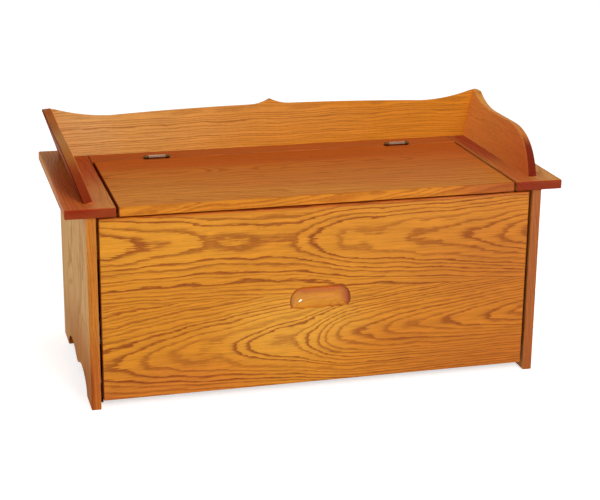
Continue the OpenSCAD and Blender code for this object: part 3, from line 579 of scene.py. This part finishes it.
frontToneAndLight = (    # where, how far it reaches, tone: redder towards the right and the lower corners, a painted pool of light low in the middle, painted light at the upper left, and a painted shadow under the lid along the top
    ((0.3, -0.22, 0.02), (0.30, 1, 0.10), (0.92, 0.86, 1.0)),
    ((-0.3, -0.22, 0.02), (0.25, 1, 0.09), (0.92, 0.78, 1.1)),
    ((0.34, -0.22, 0.23), (0.20, 1, 0.09), (0.91, 0.85, 0.95)),
    ((-0.05, -0.22, 0.14), (0.22, 1, 0.10), (1.13, 1.36, 2.0)),
    ((-0.32, -0.22, 0.33), (0.25, 1, 0.10), (1.08, 1.16, 1.3)),
    ((0, -0.22, 0.385), (0.9, 1, 0.011), (0.80, 0.50, 0.7)),
    ((-0.43, -0.22, 0.01), (0.07, 1, 0.035), (0.85, 0.72, 0.95)),
)
frontOak = oakMaterial("frontOak", "x", "z", (0, -0.212, 0.205), plank=0.19, luck=0.0, seam=0.06,
                       heart=(0.0, 0.014), heartSlope=(0.0485, -0.037), depth=(0.066, 0.078), depthSlope=(-0.075, -0.02),
                       depthBend=(0.0, -0.085), jump=(-0.014, -0.010), swing=0.009, ring=(0.0050, 0.0063),
                       bands=1.0, stained=0.45,
                       late=(0.670, 0.250, 0.018), early=(0.305, 0.068, 0.007), stain=(0.54, 0.140, 0.010),
                       redder=(1.5, 0, -0.7), red=0.03,
                       patches=frontToneAndLight, coat=0.06, coatRoughness=0.10, endTone=(0.5, 0.3, 0.3), hollowCoat=0.65,
                       hollow=((0, -0.2215, 0.1955), (0.0625, 1, 0.023), 0.0006), ragged=0.75)
addPiece("drawerFront", makeDrawerFront(), frontOak, "drawer", "oak_front", "drawer_front")
print("drawer front")


# lid and the rail behind it, both mortised for the hinges

hinge = {
    "middle": 0.263, "pinY": 0.1165, "pinZ": 0.4105, "long": 0.052, "knuckle": 0.004,
    "leaf": 0.0018, "leafHigh": 0.017, "leafGap": 0.0006, "relief": 0.0004,
}


def hingeMortises():
    h = hinge
    half = h["long"] / 2 + h["relief"]
    deep = h["leafGap"] / 2 + h["leaf"] + 0.00005
    tools = []
    for side in (-1, 1):
        x = side * h["middle"]
        tools.append(easedBoard((x - half, h["pinY"] - deep, h["pinZ"] - h["leafHigh"] - h["relief"]),
                                (x + half, h["pinY"] + deep, h["pinZ"]), 0))
        tools.append(rod((x - half, h["pinY"], h["pinZ"]), (x + half, h["pinY"], h["pinZ"]), h["knuckle"] + h["relief"]))
    return tools


lid = {"ease": 0.0025}
railBehindLid = {"ease": 0.0025}
lidOak = oakMaterial("lidOak", "x", "y", (0, -0.058, 0.4), shift=(2.3, 0.03, 0.0), plank=0.118, depth=0.05,
                     late=(0.66, 0.225, 0.018), early=(0.40, 0.090, 0.010), stain=(0.53, 0.100, 0.010), bands=0.7, stained=0.4,
                     redder=(0.6, 3.4, 0), red=0.64,
                     patches=(((0.40, -0.2315, 0.397), (0.20, 0.008, 0.03), (0.69, 0.51, 0.95)),), specular=0.03, coat=0.015)
railOak = oakMaterial("railOak", "x", "y", (0, 0.175, 0.4), shift=(4.1, 0.06, 0.01), plank=0.13, depth=0.06,
                      late=(0.51, 0.112, 0.019), early=(0.34, 0.064, 0.010), stain=(0.40, 0.070, 0.012), bands=0.75,
                      redder=(-1.3, 0, 0), red=0.0, stained=0.4)
addPiece("lidBoard", carve(easedBoard(*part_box("lid"), lid["ease"]), *hingeMortises()), lidOak, "lid", "oak_front", "lid")
addPiece("hingeRailBoard", carve(easedBoard(*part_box("hinge_rail"), railBehindLid["ease"]), *hingeMortises()), railOak,
         "case", "oak_edge", "hinge_rail")
print("lid and hinge rail")


# end boards

endBoard = {"ease": 0.003}
endReflections = {    # painted reflection of the dark arms beside their feet in the polish, and painted sheen along the outer edges
    -1: (((-0.472, -0.15, 0.407), (0.056, 0.36, 0.02), (0.88, 0.52, 0.52)),
         ((-0.415, 0.08, 0.407), (0.05, 0.22, 0.02), (0.76, 0.36, 0.40)),
         ((-0.496, 0, 0.407), (0.010, 0.3, 0.03), (1.12, 1.35, 1.7))),
    1: (((0.424, 0.08, 0.407), (0.040, 0.26, 0.02), (0.66, 0.30, 0.50)),
        ((0.42, -0.18, 0.407), (0.04, 0.14, 0.02), (0.95, 0.64, 0.7)),
        ((0.482, -0.1, 0.407), (0.026, 0.3, 0.012), (1.14, 1.38, 1.5))),
}
endTones = {-1: (0.54, 0.23, 0.30), 1: (0.48, 0.165, 0.18)}
for side, word in ((-1, "left"), (1, "right")):
    node = word + "_end_board"
    low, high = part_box(node)
    # painted highlight along each end board's eased front top edge
    endOak = oakMaterial(word + "EndOak", "y", "x", ((low.x + high.x) / 2, 0, 0.4), shift=(1.1 + side, 0.05, 0.02), plank=0.11,
                         depth=0.045, late=(0.56, 0.195, 0.034), early=(0.31, 0.062, 0.010), stain=(0.36, 0.054, 0.008),
                         bands=0.3, fine=0.5, stained=0.4, red=-0.05, patches=endReflections[side], endTone=endTones[side],
                         sides=(((0, -0.71, 0.71), 0.88, 0.97, (1.35, 1.55, 1.7)),), specular=0.03, coat=0.02)
    addPiece(word + "EndBoard", easedBoard(low, high, endBoard["ease"]), endOak, "case", "oak_edge", node)
print("end boards")


# gallery: a backrest and two arms that lean out and meet in mitres

gallery = {
    "lean": radians(18), "thick": 0.019, "seat": 0.407, "restFront": 0.1715, "armInner": 0.438, "armTip": -0.1955,
    "corner": 0.098, "crest": 0.087, "crestLow": 0.079, "crestLowX": 0.345, "cusp": 0.011, "cuspWide": 0.044,
    "arm": 0.076, "cornerFlat": 0.005, "frontRound": 0.238, "sweep": 0.300, "toe": 0.004, "ease": 0.003,
}


def crestHeight(x):
    g = gallery
    end = g["armInner"] + g["corner"] * tan(g["lean"])
    x = abs(x)
    if x < g["crestLowX"]:
        height = g["crest"] - (g["crest"] - g["crestLow"]) * (x / g["crestLowX"]) ** 2
    else:
        height = g["crestLow"] + (g["corner"] - g["crestLow"]) * min(1, ((x - g["crestLowX"]) / (end - g["crestLowX"])) ** 2)
    if x < g["cuspWide"]:
        height += g["cusp"] * (1 - x / g["cuspWide"]) ** 2
    return height


def makeBackrest():
    g = gallery
    far = g["armInner"] + g["thick"] + 2 * g["corner"] * tan(g["lean"])
    xs = [-far + 2 * far * i / 90 for i in range(91)]
    xs = sorted(set(round(x, 5) for x in xs + [-0.028, -0.02, -0.012, -0.006, -0.003, 0, 0.003, 0.006, 0.012, 0.02, 0.028]))
    crest = [(x, crestHeight(x) / cos(g["lean"])) for x in xs]
    bm = slab([(-far, -0.02)] + crest + [(far, -0.02)], g["thick"], g["ease"], easedFrom=0.03)
    bmesh.ops.rotate(bm, matrix=Matrix.Rotation(-g["lean"], 3, "X"), verts=bm.verts)
    bmesh.ops.translate(bm, vec=(0, g["restFront"], g["seat"]), verts=bm.verts)
    sliceOff(bm, (0, 0, g["seat"]), (0, 0, -1))
    for side in (-1, 1):
        sliceOff(bm, (side * g["armInner"], g["restFront"], 0), (side, -1, 0))
    return bm


def armOutline():
    g = gallery
    level, peak, toe = (g[k] / cos(g["lean"]) for k in ("arm", "corner", "toe"))
    run = sqrt(g["frontRound"] ** 2 - (g["frontRound"] - level + toe) ** 2)
    sweepRun = sqrt(g["sweep"] ** 2 - (g["sweep"] - peak + level) ** 2)
    corner = g["restFront"] - g["armTip"] + g["corner"] * tan(g["lean"])
    sweepStart = corner - g["cornerFlat"] - sweepRun
    far = corner + g["corner"]
    front, sweep = [], []
    for i in range(41):
        left = run - run * i / 40
        front.append((run - left, level - g["frontRound"] + sqrt(g["frontRound"] ** 2 - left ** 2)))
    for i in range(25):
        gone = sweepRun * i / 24
        sweep.append((sweepStart + gone, level + g["sweep"] - sqrt(g["sweep"] ** 2 - gone ** 2)))
    return [(0, -0.02)] + front + sweep + [(far, peak), (far, -0.02)]


def makeArm(side):
    g = gallery
    bm = slab(armOutline(), g["thick"], g["ease"], easedFrom=-0.001)
    bmesh.ops.rotate(bm, matrix=Matrix(((0, 1, 0), (1, 0, 0), (0, 0, 1))), verts=bm.verts)
    bmesh.ops.rotate(bm, matrix=Matrix.Rotation(g["lean"], 3, "Y"), verts=bm.verts)
    bmesh.ops.translate(bm, vec=(g["armInner"], g["armTip"], g["seat"]), verts=bm.verts)
    bmesh.ops.recalc_face_normals(bm, faces=bm.faces)
    sliceOff(bm, (0, 0, g["seat"]), (0, 0, -1))
    sliceOff(bm, (g["armInner"], g["restFront"], 0), (-1, 1, 0))
    if side < 0:
        bmesh.ops.scale(bm, vec=(-1, 1, 1), verts=bm.verts)
    return bm


restUp = Vector((0, sin(gallery["lean"]), cos(gallery["lean"])))
# the backrest is painted lighter towards its left end as sheen: redder to the right and a paler patch at the left
restOak = oakMaterial("restOak", "x", restUp, (0, 0.185, 0.45), shift=(5.2, 0.075, 0.0), plank=0.3, depth=0.10, luck=0.2,
                      late=(0.75, 0.355, 0.095), early=(0.40, 0.118, 0.016), stain=(0.69, 0.232, 0.016),
                      bands=0.8, ring=0.0036, swing=0.010, redder=(1.6, 0, 0), red=0.60,
                      patches=(((-0.44, 0.18, 0.45), (0.14, 0.1, 0.1), (1.02, 1.10, 1.35)),))
addPiece("backrestBoard", makeBackrest(), restOak, "case", "oak_front", "backrest")
# the left arm's edges drink more stain; the right arm's edges are painted lighter as a highlight
armEdge = {-1: (0.45, 0.39, 0.46), 1: (0.90, 1.10, 1.0)}
armLightAndShade = {    # painted light: the left arm's outer face is painted in shade, its toe with a painted highlight
    -1: (((-1, 0, 0), 0.3, 0.6, (0.32, 0.15, 0.08)), ((0, -1, 0), 0.76, 0.86, (3.2, 5.5, 7.0))),
    1: (),
}
armPatches = {-1: (((-0.46, -0.02, 0.48), (0.1, 0.17, 0.1), (1.32, 2.0, 1.6)),), 1: ()}
armEnd = {-1: (0.82, 0.54, 0.50), 1: (0.36, 0.13, 0.24)}
for side, word in ((-1, "left"), (1, "right")):
    armUp = Vector((side * sin(gallery["lean"]), 0, cos(gallery["lean"])))
    armOak = oakMaterial(word + "ArmOak", "y", armUp, (side * 0.45, 0, 0.44), shift=(3.3 + side, 0.08, 0.02), plank=0.3, luck=0.3,
                         depth=0.035, late=(0.84, 0.280, 0.052), early=(0.44, 0.095, 0.020),
                         stain=(0.61, 0.122, 0.025), bands=0.08, fine=0.5, endTone=armEnd[side], edgeTone=armEdge[side],
                         endFrom=(0.25, 0.5), sides=armLightAndShade[side], patches=armPatches[side],
                         stained=0.3, redder=(0, -2.5, 0), red=0.42, specular=0.02, coat=0.0)
    addPiece(word + "ArmBoard", makeArm(side), armOak, "case", "oak_edge", word + "_arm")
print("gallery")


# plainer stuff of the carried nodes

def metalMaterial(name, base, dark, roughness, scale, blotch, wornAndLitTop=False):
    material = bpy.data.materials.new(name)
    material.use_nodes = True
    tree = material.node_tree
    tree.nodes.clear()
    coords = addNode(tree, "TexCoord")
    cloud = addNode(tree, "TexNoise", {"Vector": coords.outputs["Object"], "Scale": scale, "Detail": 4.0, "Roughness": 0.6})
    grit = addNode(tree, "TexNoise", {"Vector": coords.outputs["Object"], "Scale": scale * 9, "Detail": 2.0})
    colour = addNode(tree, "ValToRGB", {"Fac": cloud.outputs[0]})
    colour.color_ramp.elements[0].position, colour.color_ramp.elements[0].color = 0.5 - blotch, (*dark, 1)
    colour.color_ramp.elements[1].position, colour.color_ramp.elements[1].color = 0.5 + blotch, (*base, 1)
    bump = addNode(tree, "Bump", {"Height": grit.outputs[0], "Strength": 0.15, "Distance": 0.0001})
    shown = colour.outputs[0]
    if wornAndLitTop:    # partly wear of handled metal, partly painted light: bright above as a painted highlight, then a dark line, then duller below
        up = addNode(tree, "SeparateXYZ", {0: coords.outputs["Normal"]}).outputs[2]
        dull = addNode(tree, "Mix", {0: spread(tree, up, 0.40, 0.52)}, data_type="RGBA")
        dull.inputs[6].default_value = (*(0.5 * value for value in base), 1)
        dull.inputs[7].default_value = (*dark, 1)
        wornAndLit = addNode(tree, "Mix", {0: spread(tree, up, 0.70, 0.86)}, data_type="RGBA")
        tree.links.new(dull.outputs[2], wornAndLit.inputs[6])
        tree.links.new(shown, wornAndLit.inputs[7])
        shown = wornAndLit.outputs[2]
    shader = addNode(tree, "BsdfPrincipled", {
        "Base Color": shown, "Metallic": 1.0, "Normal": bump.outputs[0],
        "Roughness": spread(tree, cloud.outputs[0], 0.3, 0.7, roughness + 0.12, roughness - 0.06)})
    addNode(tree, "OutputMaterial", {"Surface": shader.outputs[0]})
    return material


zinc = metalMaterial("zincPlate", (0.46, 0.47, 0.49), (0.33, 0.34, 0.36), 0.34, 260, 0.12)
darkBrass = metalMaterial("darkBrass", (0.20, 0.105, 0.030), (0.055, 0.028, 0.012), 0.34, 420, 0.16)
wornLitBrass = metalMaterial("wornLitBrass", (0.70, 0.50, 0.36), (0.16, 0.085, 0.05), 0.26, 420, 0.16, wornAndLitTop=True)


def paleWood(name, along, across, **look):
    return oakMaterial(name, along, across, (0, 0, 0.2), late=(0.72, 0.47, 0.22), early=(0.56, 0.32, 0.13),
                       stain=(0.66, 0.40, 0.16), pore=(0.25, 0.13, 0.05), endTone=(0.75, 0.65, 0.6),
                       coat=0.0, roughness=0.5, ring=0.0035, bands=0.5, **look)


def plyMaterial(name, along, across, thin, bottom, layers):
    # face veneer over crossed layers that show as stripes on the edges
    material = paleWood(name, along, across, plank=0.6, depth=0.09)
    tree = material.node_tree
    shader = next(n for n in tree.nodes if n.type == "BSDF_PRINCIPLED")
    faceColour = shader.inputs["Base Color"].links[0].from_socket
    coords = addNode(tree, "TexCoord")
    depth = addNode(tree, "VectorMath", {0: coords.outputs["Object"], 1: axisOf[thin]}, operation="DOT_PRODUCT").outputs["Value"]
    layer = calc(tree, "FLOOR", calc(tree, "DIVIDE", calc(tree, "SUBTRACT", depth, bottom), layers))
    odd = calc(tree, "GREATER_THAN", calc(tree, "PINGPONG", layer, 1.0), 0.5)
    stripes = addNode(tree, "Mix", {0: odd}, data_type="RGBA")
    stripes.inputs[6].default_value = (0.62, 0.43, 0.24, 1)
    stripes.inputs[7].default_value = (0.30, 0.17, 0.08, 1)
    facing = addNode(tree, "VectorMath", {0: coords.outputs["Normal"], 1: axisOf[thin]}, operation="DOT_PRODUCT").outputs["Value"]
    edges = spread(tree, calc(tree, "ABSOLUTE", facing), 0.6, 0.4)
    shown = addNode(tree, "Mix", {0: edges}, data_type="RGBA")
    tree.links.new(faceColour, shown.inputs[6])
    tree.links.new(stripes.outputs[2], shown.inputs[7])
    tree.links.new(shown.outputs[2], shader.inputs["Base Color"])
    return material


innerOakX = oakMaterial("railInnerOak", "x", "z", (0, 0, 0.3), shift=(7.0, 0.05, 0.0), plank=0.2)
battenOak = oakMaterial("battenOak", "y", "x", (0, 0, 0.38), shift=(8.0, 0.03, 0.0), plank=0.25)
paleAlongX = paleWood("drawerWoodX", "x", "z", plank=0.5)
paleAlongY = paleWood("drawerWoodY", "y", "z", plank=0.5)
dowelWood = paleWood("dowelWood", "z", "x", plank=0.5)

finishes = {
    "front_rail": innerOakX, "rear_rail": innerOakX, "lid_battens": battenOak,
    "case_back": plyMaterial("backPly", "x", "z", "y", 0.2095, 0.0012),
    "bottom_board": plyMaterial("bottomPly", "x", "y", "z", 0.046, 0.0024),
    "tray_bottom": plyMaterial("trayPly", "x", "y", "z", 0.318, 0.0012),
    "drawer_bottom": plyMaterial("drawerPly", "x", "y", "z", 0.074, 0.0012),
    "tray_cleats": paleAlongY, "drawer_inner_front": paleAlongX, "drawer_back": paleAlongX,
    "drawer_left_side": paleAlongY, "drawer_right_side": paleAlongY, "case_dowels": dowelWood,
}
for name, node in nodes.items():
    if name in finishes:
        finish = finishes[name]
    elif "hinge" in name:
        finish = wornLitBrass if "lid_leaf" in name else darkBrass
    else:
        finish = zinc
    node.data.materials.clear()
    node.data.materials.append(finish)
print("carried nodes finished")
